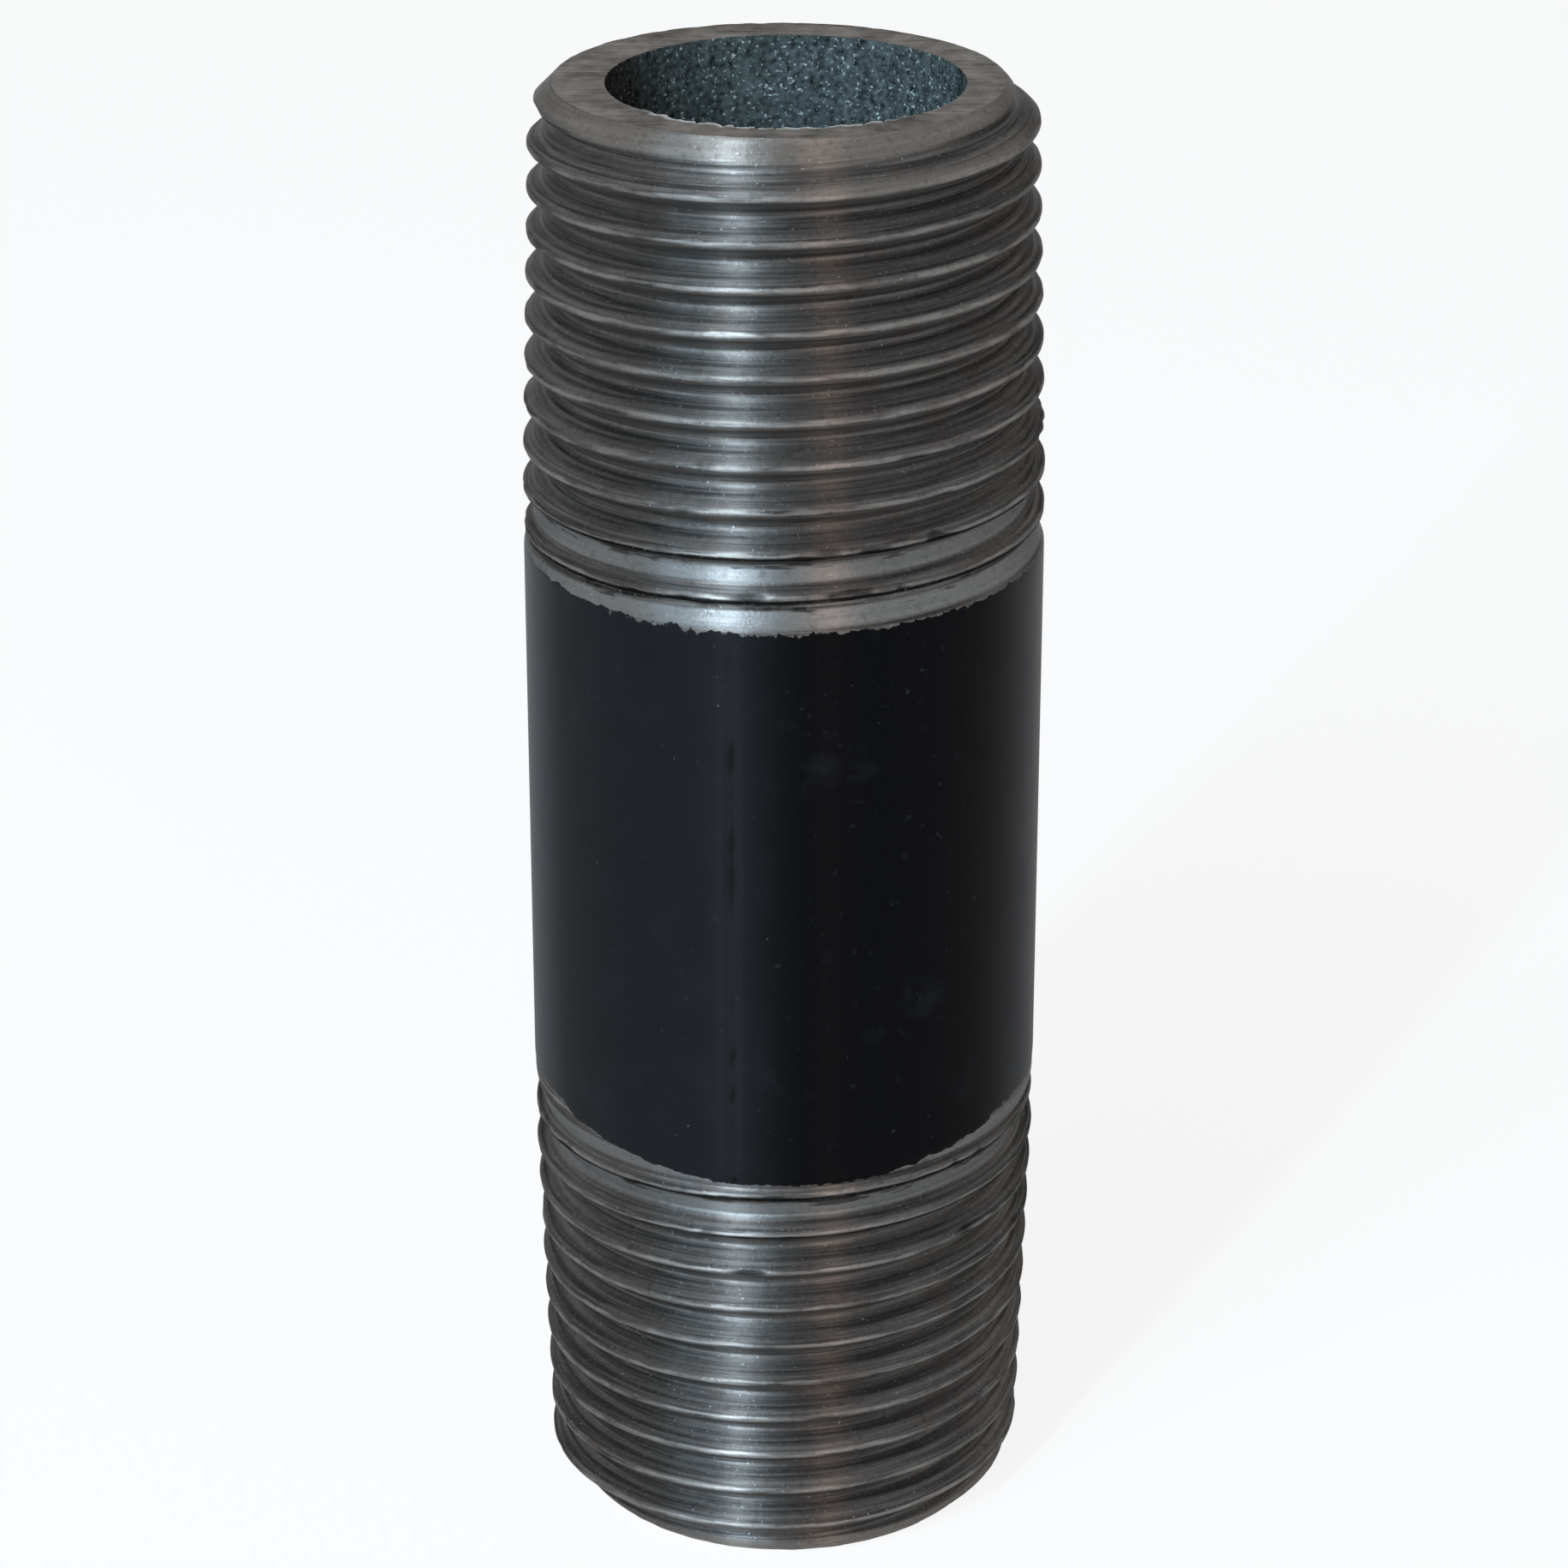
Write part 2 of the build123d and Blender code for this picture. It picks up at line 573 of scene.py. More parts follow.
@dataclass
class NippleMesh:
    """Joins the outside, the sawn faces and the bore into one closed mesh, in mm.

    Its marks are values at each point, which the finishes read: root is 1 in a groove and
    -1 on a crest, down is 1 on the flank that faces down, bare is 1 where no lacquer is
    left, late rises to 1 towards the run-out, last is 1 beside the last groove, rubbed is 1
    where handling greyed the lacquer and where a painted sheen lightens it, and bevel, seam
    and tear are 1 on those.
    """

    mark_names: ClassVar[tuple[str, ...]] = (
        "root", "down", "bare", "bevel", "late", "last", "rubbed_and_sheen", "seam", "tear"
    )
    snap: ClassVar[float] = 0.02
    outside: NippleOutside
    bore: MillScaleBore
    wear: ThreadWear
    points: list[Array] = field(default_factory=list)
    marks: dict[str, list[Array]] = field(default_factory=dict)
    quads: list[Array] = field(default_factory=list)
    zones: list[Array] = field(default_factory=list)
    count: int = 0

    def add_points(
        self, radius: Array, theta: Array, z: Array, shift: float = 0.0, **marks: Array | float
    ) -> Array:
        """Adds points and what the finishes need to know of them.

        Args:
            radius: Distances from the axis.
            theta: Angles about the axis in radians.
            z: Heights.
            shift: How far all the points are moved along X.
            marks: Values to keep as attributes, by name. Missing ones are 0.

        Returns:
            The new points' numbers, in the shape of z.
        """
        numbers = np.arange(self.count, self.count + z.size).reshape(z.shape)
        x, y = radius * np.cos(theta) + shift, radius * np.sin(theta)
        self.points.append(np.stack([x.ravel(), y.ravel(), z.ravel()], axis=1))
        for name in self.mark_names:
            values = np.broadcast_to(marks.get(name, 0.0), z.shape)
            self.marks.setdefault(name, []).append(values.ravel())
        self.count += z.size
        return numbers

    def add_quads(self, quads: Array, zone: Zone) -> None:
        """Adds faces, as point numbers in rows of four, and the surface they belong to."""
        self.quads.append(quads)
        self.zones.append(np.full(len(quads), zone.value))

    def add_strip(self, lower: Array, upper: Array, zone: Zone) -> None:
        """Adds the quads between two closed rings, of which upper is the further one."""
        self.add_quads(np.stack([lower, np.roll(lower, -1), np.roll(upper, -1), upper], axis=1), zone)

    def add_outside(self) -> dict[End, Array]:
        """Adds both threads and the plain pipe.

        Returns:
            The point numbers of each end face's outer edge.
        """
        outside, wear = self.outside, self.wear
        around = outside.theta
        rims = {}
        for end, sawn in outside.ends.items():
            rim = sawn.rim(around) + wear.rim_burr(end, around)
            z = outside.from_end(end, sawn.face_inset - wear.rim_lip(end, around))
            rims[end] = self.add_points(rim, around, z, bare=1.0, bevel=1.0)
        grid = outside.grid()
        theta = np.broadcast_to(around, grid["z"].shape)
        grid = wear.worn(grid, theta)
        marks = {name: grid[name] for name in self.mark_names}
        own = self.add_points(grid["radius"], theta, grid["z"], **marks)

        # Rows that lie past an end face, or within a snap of it, are folded onto its rim
        for end, sawn in outside.ends.items():
            beyond = outside.from_end(end, grid["z"]) < sawn.face_inset + self.snap
            own = np.where(beyond, rims[end][None, :], own)

        # A turn on, the last column meets the first one
        rows = outside.thread.rows
        closing = np.concatenate([own[rows:, 0], np.full(rows, rims[End.UPPER][0])])
        wide = np.concatenate([own, closing[:, None]], axis=1)
        quads = np.stack([wide[:-1, :-1], wide[:-1, 1:], wide[1:, 1:], wide[1:, :-1]], axis=-1)
        self.add_quads(quads.reshape(-1, 4), Zone.OUTSIDE)
        return rims

    def add_inside(self, rims: dict[End, Array]) -> None:
        """Adds the sawn faces and the bore.

        Args:
            rims: The point numbers of each end face's outer edge.
        """
        outside, bore = self.outside, self.bore
        theta = outside.theta
        edges = {}
        for end, sawn in outside.ends.items():
            inner, outer = bore.edge_radius(end, theta), sawn.rim(theta)
            ring = rims[end]
            for share in bore.face_rings:
                radius = outer + (inner - outer) * share
                z = outside.from_end(end, sawn.face_inset + bore.saw_marks(end, radius, theta))
                following = self.add_points(radius, theta, z, bare=1.0)
                self.join(ring, following, end)
                ring = following
            z = outside.from_end(end, sawn.face_inset - bore.edge_lip(end, theta))
            edges[end] = self.add_points(inner, theta, z, bore.shift, bare=1.0, tear=bore.burred(theta))
            self.join(ring, edges[end], end)
        ring = edges[End.UPPER]
        for level in np.linspace(outside.length - bore.edge_step, bore.edge_step, bore.rings):
            z = np.full_like(theta, level)
            following = self.add_points(bore.wall(theta, z), theta, z, bore.shift)
            self.add_strip(ring, following, Zone.BORE)
            ring = following
        self.add_strip(ring, edges[End.LOWER], Zone.BORE)

    def join(self, outer: Array, inner: Array, end: End) -> None:
        """Adds a ring of a sawn face, facing out of the pipe."""
        pair = (outer, inner) if end is End.UPPER else (inner, outer)
        self.add_strip(*pair, Zone.SAWN_FACE)

    def build(self, name: str) -> bpy.types.Object:
        """Makes the Blender object.

        Args:
            name: Name of the piece.

        Returns:
            The nipple as one closed mesh, in metres.
        """
        self.add_inside(self.add_outside())
        points = np.concatenate(self.points) * MM
        quads = np.concatenate(self.quads)
        zones = np.concatenate(self.zones)

        # Folded quads lose their doubled corners, and those with no area go
        kept = quads != np.roll(quads, -1, axis=1)
        solid = kept.sum(axis=1) >= 3
        quads, kept, zones = quads[solid], kept[solid], zones[solid]
        used = np.unique(quads)
        renumber = np.full(len(points), -1)
        renumber[used] = np.arange(len(used))
        faces = [renumber[quad[keep]].tolist() for quad, keep in zip(quads, kept)]
        mesh = bpy.data.meshes.new(name)
        mesh.from_pydata(points[used].tolist(), [], faces)
        mesh.validate()
        mesh.polygons.foreach_set("material_index", zones.astype(np.int32))
        mesh.polygons.foreach_set("use_smooth", np.ones(len(faces), dtype=bool))
        for mark, values in self.marks.items():
            attribute = mesh.attributes.new(mark, "FLOAT", "POINT")
            attribute.data.foreach_set("value", np.concatenate(values)[used].astype(np.float32))
        self.weigh_normals(mesh)
        mesh.update()
        piece = bpy.data.objects.new(name, mesh)
        bpy.context.scene.collection.objects.link(piece)
        return piece

    def weigh_normals(self, mesh: bpy.types.Mesh) -> None:
        """Shades each point by its larger faces, so flats stay flat beside narrow corners.

        Args:
            mesh: The mesh to give its normals.
        """
        count = len(mesh.polygons)
        area = np.zeros(count, dtype=np.float32)
        normal = np.zeros(count * 3, dtype=np.float32)
        total = np.zeros(count, dtype=np.int32)
        mesh.polygons.foreach_get("area", area)
        mesh.polygons.foreach_get("normal", normal)
        mesh.polygons.foreach_get("loop_total", total)
        corner = np.zeros(len(mesh.loops), dtype=np.int32)
        mesh.loops.foreach_get("vertex_index", corner)
        weighted = np.repeat(normal.reshape(-1, 3) * area[:, None], total, axis=0)
        sums = np.zeros((len(mesh.vertices), 3))
        np.add.at(sums, corner, weighted)
        lengths = np.linalg.norm(sums, axis=1, keepdims=True)
        mesh.normals_split_custom_set_from_vertices((sums / np.maximum(lengths, 1e-20)).tolist())


def add_node(
    tree: Tree, kind: str, inputs: dict | None = None, **settings: object
) -> bpy.types.NodeOutputs:
    """Adds one shader node.

    Args:
        tree: The material's or the world's node tree.
        kind: Blender's name for the node, after its ShaderNode.
        inputs: Values or sockets for the node's inputs, by name or number.
        settings: The node's own properties.

    Returns:
        The new node's outputs.
    """
    node = tree.nodes.new("ShaderNode" + kind)
    for name, value in settings.items():
        setattr(node, name, value)
    for name, value in (inputs or {}).items():
        if isinstance(value, bpy.types.NodeSocket):
            tree.links.new(value, node.inputs[name])
        else:
            node.inputs[name].default_value = value
    return node.outputs


def new_material(name: str) -> tuple[bpy.types.Material, Tree]:
    """Makes an empty material.

    Args:
        name: The finish's plain name.

    Returns:
        The material and its empty node tree.
    """
    material = bpy.data.materials.new(name)
    material.use_nodes = True
    material.node_tree.nodes.clear()
    return material, material.node_tree


def read_marks(tree: Tree) -> dict[str, Socket]:
    """Reads the mesh's marks, as a socket for each by name."""
    names = NippleMesh.mark_names
    return {mark: add_node(tree, "Attribute", attribute_name=mark)["Fac"] for mark in names}


def place_in_mm(tree: Tree) -> Socket:
    """Gives the point's place on the nipple in mm, so that patterns keep their real size."""
    place = add_node(tree, "TexCoord")["Object"]
    return add_node(tree, "VectorMath", {0: place, "Scale": 1 / MM}, operation="SCALE")[0]


@dataclass(frozen=True)
class Layer:
    """A colour laid over others: none where its mask is at first, and its most from full on."""

    mask: Socket
    first: float
    full: float
    most: float
    colour: str


def lay_colours(tree: Tree, base: str, layers: list[Layer]) -> Socket:
    """Lays colours over one another.

    Args:
        tree: The material's node tree.
        base: The lowest colour, as sRGB hex.
        layers: The colours over it, from the lowest up.

    Returns:
        The colour with every layer on it.
    """
    colour = to_linear(base)
    for layer in layers:
        ramp = {"Value": layer.mask, "From Min": layer.first, "From Max": layer.full, "To Max": layer.most}
        share = add_node(tree, "MapRange", ramp)[0]
        over = to_linear(layer.colour)
        colour = add_node(tree, "Mix", {0: share, 6: colour, 7: over}, data_type="RGBA")[2]
    return colour


@dataclass(frozen=True)
class CutSteelAndLacquer:
    """Mild steel cut by a thread die, and the black lacquer left on the pipe between.

    Bare cut steel gives a cool dark grey with fine lines along the cut, which draw each
    highlight out across the thread, and the lacquer a smooth near-black with a soft gloss.
    Lengths are in mm, and a span of roughness runs from a pattern's lowest to its highest.
    """

    steel_dark: str = "#373635"
    steel_light: str = "#6a6764"
    steel_brown: str = "#4d4642"
    crest_polish_and_highlight: str = "#8e8b87"
    bevel_tone_and_highlight: str = "#75706b"
    band_tone_and_highlight: str = "#777877"
    soot_and_shade: str = "#101010"
    spark: str = "#b4b8b8"
    lacquer: str = "#070708"
    film_and_sheen_grey: str = "#2f3032"
    smudge: str = "#232527"
    speck: str = "#5a5e62"
    pit: str = "#010101"
    # Tool marks are nearer 0.05 mm apart, drawn coarser so that they show
    line_spacing: float = 0.12
    line_length: float = 9.0
    scar_height: float = 0.30
    scar_length: float = 2.2
    grain_sizes: tuple[tuple[str, float], ...] = (
        ("stain", 2.8), ("chip", 0.45), ("speck", 0.28), ("grit", 0.13)
    )
    pitch: float = INCH / 14
    under_crest_root: float = -0.875
    under_crest_down: float = 0.485
    under_crest_ragged: float = 0.35
    crest_ragged: float = 0.6
    edge_ragged: float = 1.2
    steel_roughness: Span = (0.44, 0.32)
    lacquer_roughness: Span = (0.40, 0.52)
    relief: float = 0.018
    lacquer_relief: float = 0.12
    grit_relief: float = 0.4
    metal: float = 0.85

    def along_helix(
        self, tree: Tree, mm: Socket, marks: dict[str, Socket], across: float, along: float, detail: float
    ) -> Socket:
        """Makes a pattern that is short across the pitch and long around the pipe.

        Args:
            tree: The material's node tree.
            mm: Place in mm.
            marks: The mesh's marks.
            across: Size of a cell across the pitch in mm.
            along: Size of a cell around the pipe in mm.
            detail: How many finer layers are added.

        Returns:
            A socket from 0 to 1.
        """
        spread = self.pitch / (2 * math.pi) / across
        place = add_node(tree, "VectorMath", {0: mm, "Scale": 1 / along}, operation="SCALE")[0]
        third, fourth = (
            add_node(tree, "Math", {0: marks[mark], 1: spread}, operation="MULTIPLY")[0]
            for mark in ("root", "down")
        )
        lift = add_node(tree, "CombineXYZ", {"Z": third})[0]
        place = add_node(tree, "VectorMath", {0: place, 1: lift}, operation="ADD")[0]
        look = {"Vector": place, "W": fourth, "Scale": 1.0, "Detail": detail, "Roughness": 0.65}
        return add_node(tree, "TexNoise", look, noise_dimensions="4D")["Fac"]

    def steel(
        self, tree: Tree, mm: Socket, marks: dict[str, Socket], grains: dict[str, Socket]
    ) -> Socket:
        """Colours the bare steel, with painted shade on the late flanks that face down and painted
        highlights in part of its lighter colours.

        Args:
            tree: The material's node tree.
            mm: Place in mm.
            marks: The mesh's marks.
            grains: The finish's patterns, by name.

        Returns:
            A colour socket.
        """
        root, down, late = marks["root"], marks["down"], marks["late"]
        scars = self.along_helix(tree, mm, marks, self.scar_height, self.scar_length, 2.0)
        # Crests are lightened along their line: partly polish, partly a painted highlight
        crest = add_node(tree, "Math", {0: root, 1: -1.0}, operation="MULTIPLY")[0]
        polished_and_lit_crest = {0: scars, 1: self.crest_ragged, 2: crest}
        polished_and_lit_crest = add_node(tree, "Math", polished_and_lit_crest, operation="MULTIPLY_ADD")[0]

        # Painted shade: the late flanks that face down are darkened
        below = add_node(tree, "MapRange", {"Value": down, "From Min": 0.1, "From Max": 0.5})[0]
        below = add_node(tree, "Math", {0: below, 1: late}, operation="MULTIPLY")[0]
        painted_flank_shade = add_node(tree, "Math", {0: below, 1: scars}, operation="MULTIPLY")[0]

        # A ragged black line darkens the underside of each late crest, on the flank that faces down
        torn = add_node(tree, "Math", {0: root, 1: self.under_crest_root}, operation="MULTIPLY")[0]
        torn = add_node(tree, "Math", {0: down, 1: self.under_crest_down, 2: torn}, operation="MULTIPLY_ADD")[0]
        torn = add_node(tree, "Math", {0: torn, 1: late}, operation="MULTIPLY")[0]
        torn = add_node(tree, "Math", {0: scars, 1: self.under_crest_ragged, 2: torn}, operation="MULTIPLY_ADD")[0]

        # The die's throat left the last grooves as flat bands, lightened here: partly scraped steel, partly
        # a painted highlight where they face up to the lamps
        band = add_node(tree, "Math", {0: root, 1: marks["last"]}, operation="MULTIPLY")[0]
        layers = [
            Layer(grains["lines"], 0.40, 0.63, 1.0, self.steel_light),
            Layer(grains["stain"], 0.52, 0.70, 0.6, self.steel_brown),
            # Partly polished crests, partly a painted highlight along the crest line
            Layer(polished_and_lit_crest, 1.20, 1.34, 0.6, self.crest_polish_and_highlight),
            # Partly lighter steel, partly a painted highlight on the last bands
            Layer(band, 0.05, 0.45, 0.75, self.band_tone_and_highlight),
            # Lighter bevels: partly their own cut, partly a painted highlight where the bevel faces up to
            # the lamps
            Layer(marks["bevel"], 0.1, 0.9, 0.7, self.bevel_tone_and_highlight),
            # Painted shade on the late flanks that face down
            Layer(painted_flank_shade, 0.50, 0.58, 0.7, self.soot_and_shade),
            # Ragged black line under each late crest
            Layer(torn, 1.06, 1.14, 0.95, self.soot_and_shade),
            Layer(grains["speck"], 0.52, 0.72, 0.3, self.soot_and_shade),
            Layer(grains["grit"], 0.64, 0.74, 0.6, self.spark),
            Layer(marks["tear"], 0.25, 0.60, 0.7, self.soot_and_shade),
        ]
        return lay_colours(tree, self.steel_dark, layers)

    def material(self) -> bpy.types.Material:
        """Builds the shader.

        Returns:
            The material.
        """
        material, tree = new_material("cut_steel_and_black_lacquer")
        mm = place_in_mm(tree)
        marks = read_marks(tree)
        lines = self.along_helix(tree, mm, marks, self.line_spacing, self.line_length, 5.0)
        grains = {"lines": lines}
        for name, size in self.grain_sizes:
            look = {"Vector": mm, "Scale": 1 / size, "Detail": 4.0, "Roughness": 0.6}
            grains[name] = add_node(tree, "TexNoise", look)["Fac"]
        steel = self.steel(tree, mm, marks, grains)

        # Handling left a grey film on the lacquer, thinner in patches, which also paints a sheen at the
        # sides and left of the seam
        film = {"Value": grains["stain"], "From Min": 0.30, "From Max": 0.60, "To Min": 0.75}
        film = add_node(tree, "MapRange", film)[0]
        film = add_node(tree, "Math", {0: film, 1: marks["rubbed_and_sheen"]}, operation="MULTIPLY")[0]
        layers = [
            Layer(film, 0.0, 1.0, 1.0, self.film_and_sheen_grey),
            Layer(grains["stain"], 0.60, 0.75, 0.25, self.smudge),
            Layer(grains["chip"], 0.64, 0.78, 0.6, self.smudge),
            Layer(grains["speck"], 0.70, 0.78, 0.5, self.speck),
            Layer(marks["seam"], 0.32, 0.80, 0.8, self.pit),
        ]
        lacquer = lay_colours(tree, self.lacquer, layers)

        # The lacquer's edge is ragged at the size of a chip
        bare = {0: grains["chip"], 1: self.edge_ragged, 2: marks["bare"]}
        bare = add_node(tree, "Math", bare, operation="MULTIPLY_ADD")[0]
        bare = add_node(tree, "MapRange", {"Value": bare, "From Min": 1.05, "From Max": 1.12})[0]
        colour = add_node(tree, "Mix", {0: bare, 6: lacquer, 7: steel}, data_type="RGBA")[2]
        patterns = ((grains["stain"], self.lacquer_roughness), (lines, self.steel_roughness))
        rough_lacquer, rough_steel = (
            add_node(tree, "MapRange", {"Value": pattern, "To Min": low, "To Max": high})[0]
            for pattern, (low, high) in patterns
        )
        rough = add_node(tree, "Mix", {0: bare, 2: rough_lacquer, 3: rough_steel}, data_type="FLOAT")[0]
        grainy = {0: grains["grit"], 1: self.grit_relief, 2: lines}
        grainy = add_node(tree, "Math", grainy, operation="MULTIPLY_ADD")[0]
        relief = {0: bare, 2: grains["speck"], 3: grainy}
        relief = add_node(tree, "Mix", relief, data_type="FLOAT")[0]
        depth = add_node(tree, "MapRange", {"Value": bare, "To Min": self.lacquer_relief})[0]
        bump = {"Strength": depth, "Distance": self.relief * MM, "Height": relief}
        shader = add_node(
            tree,
            "BsdfPrincipled",
            {
                "Base Color": colour,
                "Metallic": add_node(tree, "Math", {0: bare, 1: self.metal}, operation="MULTIPLY")[0],
                "Roughness": rough,
                "Normal": add_node(tree, "Bump", bump)[0],
                "Specular IOR Level": 0.08,
                "Specular Tint": (0.4, 0.4, 0.4, 1.0),
                "Anisotropic": 1.0,
                "Anisotropic Rotation": 0.25,
                "Tangent": add_node(tree, "Tangent", direction_type="RADIAL", axis="Z")[0],
            },
        )
        add_node(tree, "OutputMaterial", {"Surface": shader[0]})
        return material


@dataclass(frozen=True)
class SawnSteel:
    """Mild steel cut by a saw: a flat warm grey with fine straight lines and a bright burr.

    Lengths are in mm, and the roughness runs from the lines' lowest to their highest.
    """

    dark: str = "#332f2b"
    light: str = "#716b66"
    burr: str = "#9a9d9d"
    line_spacing: float = 0.14
    line_length: float = 5.0
    stain_size: float = 1.6
    stain_share: float = 0.7
    roughness: Span = (0.78, 0.64)
    relief: float = 0.012

    def material(self) -> bpy.types.Material:
        """Builds the shader.

        Returns:
            The material.
        """
        material, tree = new_material("sawn_steel")
        mm = place_in_mm(tree)
        squeezed = (1 / self.line_length, 1 / self.line_spacing, 1 / self.line_length)
        drawn = add_node(tree, "VectorMath", {0: mm, 1: squeezed}, operation="MULTIPLY")[0]
        lines = add_node(tree, "TexNoise", {"Vector": drawn, "Scale": 1.0, "Detail": 3.0})["Fac"]
        stains = {"Vector": mm, "Scale": 1 / self.stain_size, "Detail": 6.0, "Roughness": 0.7}
        stains = add_node(tree, "TexNoise", stains)["Fac"]
        blend = add_node(tree, "Mix", {0: self.stain_share, 2: lines, 3: stains}, data_type="FLOAT")[0]
        tear = read_marks(tree)["tear"]
        burr = add_node(tree, "Math", {0: tear, 1: stains}, operation="MULTIPLY")[0]
        layers = [Layer(blend, 0.36, 0.62, 1.0, self.light), Layer(burr, 0.15, 0.40, 1.0, self.burr)]
        low, high = self.roughness
        bump = {"Strength": 0.9, "Distance": self.relief * MM, "Height": blend}
        shader = add_node(
            tree,
            "BsdfPrincipled",
            {
                "Base Color": lay_colours(tree, self.dark, layers),
                "Metallic": 1.0,
                "Roughness": add_node(tree, "MapRange", {"Value": lines, "To Min": low, "To Max": high})[0],
                "Normal": add_node(tree, "Bump", bump)[0],
            },
        )
        add_node(tree, "OutputMaterial", {"Surface": shader[0]})
        return material


@dataclass(frozen=True)
class MillScale:
    """Hot-rolled mill scale in the bore: dark blue-grey, hammered and finely sparkling.

    Lengths are in mm.
    """

    dark: str = "#101314"
    light: str = "#4e5756"
    sparkle: str = "#b4c2c0"
    streak: str = "#0a0c0d"
    grain: float = 0.26
    sparkle_size: float = 0.15
    streak_width: float = 1.1
    streak_length: float = 7.0
    relief: float = 0.035

    def material(self) -> bpy.types.Material:
        """Builds the shader.

        Returns:
            The material.
        """
        material, tree = new_material("mill_scale")
        mm = place_in_mm(tree)
        hammered, sparks = (
            add_node(tree, "TexNoise", {"Vector": mm, "Scale": 1 / size, "Detail": 5.0})["Fac"]
            for size in (self.grain, self.sparkle_size)
        )
        squeezed = (1 / self.streak_width, 1 / self.streak_width, 1 / self.streak_length)
        drawn = add_node(tree, "VectorMath", {0: mm, 1: squeezed}, operation="MULTIPLY")[0]
        streaks = add_node(tree, "TexNoise", {"Vector": drawn, "Scale": 1.0, "Detail": 4.0})["Fac"]
        layers = [
            Layer(hammered, 0.26, 0.70, 1.0, self.light),
            Layer(sparks, 0.60, 0.72, 0.8, self.sparkle),
            Layer(streaks, 0.52, 0.72, 0.5, self.streak),
        ]
        bump = {"Strength": 1.0, "Distance": self.relief * MM, "Height": hammered}
        shader = add_node(
            tree,
            "BsdfPrincipled",
            {
                "Base Color": lay_colours(tree, self.dark, layers),
                "Metallic": 0.0,
                "Roughness": 0.7,
                "Normal": add_node(tree, "Bump", bump)[0],
                "Specular IOR Level": 0.0,
            },
        )
        add_node(tree, "OutputMaterial", {"Surface": shader[0]})
        return material


@dataclass
class PipeNipple:
    """The whole nipple: sizes from the frame, its mesh and its finishes."""

    # Kept off the outer radius, so that rounding takes no point past the model's box
    margin: ClassVar[float] = 0.001
    length: float
    outer_radius: float
    bore_radius: float

    @classmethod
    def from_frame(cls) -> "PipeNipple":
        """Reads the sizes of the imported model.

        Returns:
            The nipple in the model's own sizes, in mm.
        """
        low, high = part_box(NODE)
        bore = next(mount for mount in frame["record"]["mounts"] if mount["kind"] == "bore")
        return cls((high[2] - low[2]) / MM, high[0] / MM - cls.margin, bore["dims"]["r_mm"])

    def build(self) -> bpy.types.Object:
        """Builds and dresses the nipple.

        Returns:
            The finished piece.
        """
        lower = SawnEnd(
            first_groove=1.59, face_radius=9.0, bevel_shift=(0.0, 0.0), bevel_oval=0.0,
            lacquer_edge=18.8, lacquer_dip=2.6,
        )
        upper = SawnEnd(
            first_groove=0.62, face_radius=9.03, bevel_shift=(-0.2, 0.31), bevel_oval=0.17,
            lacquer_edge=19.75, lacquer_dip=-0.4,
        )
        thread = TaperThread(outer_radius=self.outer_radius)
        outside = NippleOutside(thread, {End.LOWER: lower, End.UPPER: upper}, self.length)
        mesh = NippleMesh(outside, MillScaleBore(self.bore_radius), ThreadWear(outside))
        piece = mesh.build("threaded_steel_pipe")
        for finish in (CutSteelAndLacquer(), SawnSteel(), MillScale()):
            piece.data.materials.append(finish.material())
        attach(piece, "root")
        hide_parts(NODE)
        return piece


@dataclass(frozen=True)
class SoftLamp:
    """A soft lamp that faces the middle of the nipple, in metres and watts.

    Its azimuth is in degrees from the front, positive to the right, its elevation in
    degrees above the middle of the nipple, and its size its width and height.
    """

    name: str
    azimuth: float
    elevation: float
    away: float
    size: Span
    power: float
    colour: str
    aim_height: float = 0.032

    def build(self) -> None:
        """Adds the lamp."""
        lamp = bpy.data.lights.new(self.name, "AREA")
        lamp.shape = "RECTANGLE"
        lamp.size, lamp.size_y = self.size
        lamp.energy = self.power
        lamp.color = to_linear(self.colour)[:3]
        holder = bpy.data.objects.new(self.name, lamp)
        turn, rise = math.radians(self.azimuth + FRONT), math.radians(self.elevation)
        level = math.cos(rise)
        offset = Vector((math.cos(turn) * level, math.sin(turn) * level, math.sin(rise))) * self.away
        holder.location = Vector((0, 0, self.aim_height)) + offset
        holder.rotation_euler = (-offset).to_track_quat("-Z", "Y").to_euler()
        bpy.context.scene.collection.objects.link(holder)


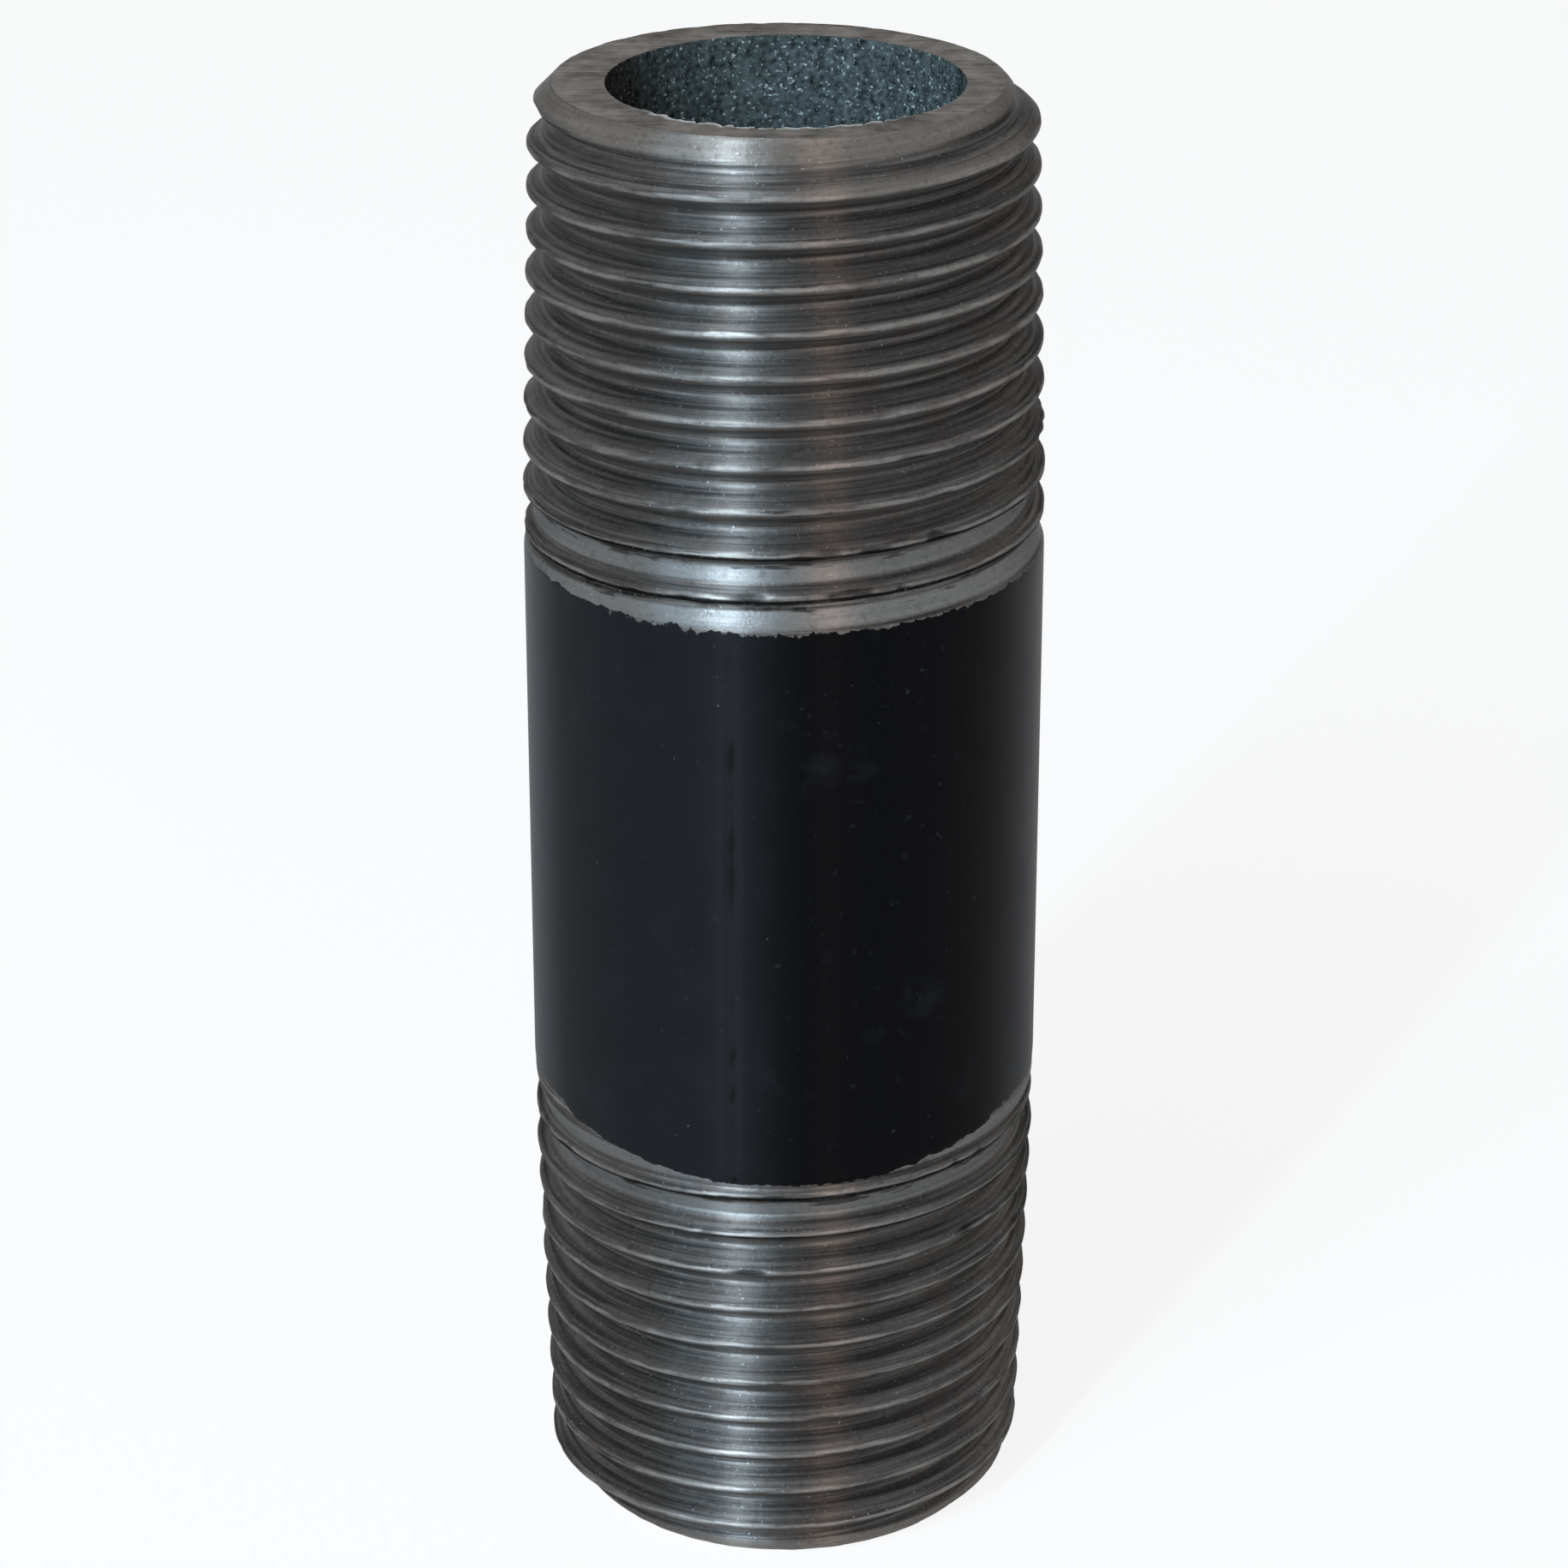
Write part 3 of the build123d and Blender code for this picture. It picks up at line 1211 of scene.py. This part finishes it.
@dataclass(frozen=True)
class Studio:
    """A white floor and white surroundings, soft lamps and the camera.

    Places are in metres, the camera's downward pitch is in degrees, and its lens and sensor
    are in mm.
    """

    camera_distance: float = 0.19267
    camera_height: float = 0.1151
    camera_clip: float = 0.01
    pitch_down: float = 23.18
    lens: float = 112.47
    sensor: float = 36.0
    floor_reach: float = 3.0
    floor_colour: str = "#f4f4f4"
    floor_white: float = 0.88
    world_light: float = 0.11
    world_white: float = 1.0

    def seen_rays(self, tree: Tree) -> Socket:
        """Tells the rays that show the background from those that only light the nipple.

        Args:
            tree: The floor's or the world's node tree.

        Returns:
            A socket that is 1 for camera, glossy and transmission rays.
        """
        rays = add_node(tree, "LightPath")
        seen = rays["Is Camera Ray"]
        for other in ("Is Glossy Ray", "Is Transmission Ray"):
            seen = add_node(tree, "Math", {0: seen, 1: rays[other]}, operation="MAXIMUM")[0]
        return seen

    def add_floor(self) -> None:
        """Adds the pale floor, which shows white to the camera and keeps a soft shadow."""
        mesh = bpy.data.meshes.new("studio_floor")
        reach = self.floor_reach
        corners = [(-reach, -reach, 0), (reach, -reach, 0), (reach, reach, 0), (-reach, reach, 0)]
        mesh.from_pydata(corners, [], [(0, 1, 2, 3)])
        floor = bpy.data.objects.new("studio_floor", mesh)
        bpy.context.scene.collection.objects.link(floor)
        material, tree = new_material("white_paper")
        diffuse = add_node(tree, "BsdfDiffuse", {"Color": to_linear(self.floor_colour)})[0]
        white = add_node(tree, "Emission", {"Color": (1, 1, 1, 1), "Strength": 1.0})[0]
        share = {0: self.seen_rays(tree), 1: self.floor_white}
        share = add_node(tree, "Math", share, operation="MULTIPLY")[0]
        mixed = add_node(tree, "MixShader", {0: share, 1: diffuse, 2: white})[0]
        add_node(tree, "OutputMaterial", {"Surface": mixed})
        mesh.materials.append(material)

    def add_world(self) -> None:
        """Adds the white surroundings, which light the nipple softly."""
        world = bpy.data.worlds.new("studio")
        bpy.context.scene.world = world
        world.use_nodes = True
        tree = world.node_tree
        tree.nodes.clear()
        strength = {"Value": self.seen_rays(tree), "To Min": self.world_light, "To Max": self.world_white}
        strength = add_node(tree, "MapRange", strength)[0]
        light = add_node(tree, "Background", {"Color": (1, 1, 1, 1), "Strength": strength})[0]
        add_node(tree, "OutputWorld", {"Surface": light})

    def add_camera(self) -> None:
        """Adds the camera at the photograph's viewing angle."""
        data = bpy.data.cameras.new("camera")
        data.sensor_width = self.sensor
        data.lens = self.lens
        data.clip_start = self.camera_clip
        camera = bpy.data.objects.new("camera", data)
        camera.location = (0.0, -self.camera_distance, self.camera_height)
        camera.rotation_euler = (math.radians(90 - self.pitch_down), 0, 0)
        bpy.context.scene.collection.objects.link(camera)
        bpy.context.scene.camera = camera

    def build(self) -> None:
        """Sets the stage."""
        bpy.context.scene.view_settings.view_transform = "Standard"
        self.add_camera()
        self.add_floor()
        self.add_world()
        SoftLamp("key_strip", -26, 30, 0.9, (0.035, 0.6), 8.0, "#dcf0ff").build()
        SoftLamp("warm_strip", 20, 22, 0.9, (0.08, 0.5), 1.4, "#ffdccc").build()
        SoftLamp("front_panel", -33, 30, 0.9, (0.85, 0.5), 6.5, "#bfe0fa").build()
        SoftLamp("bore_panel", -40, 46, 0.8, (0.12, 0.2), 0.9, "#e8f2fa").build()


def main() -> None:
    """Builds the nipple, its finishes and the studio."""
    logging.basicConfig(level=logging.INFO, format="%(message)s")
    Studio().build()
    piece = PipeNipple.from_frame().build()
    log.info("%s: %d faces", piece.name, len(piece.data.polygons))


if __name__ == "__main__":
    main()
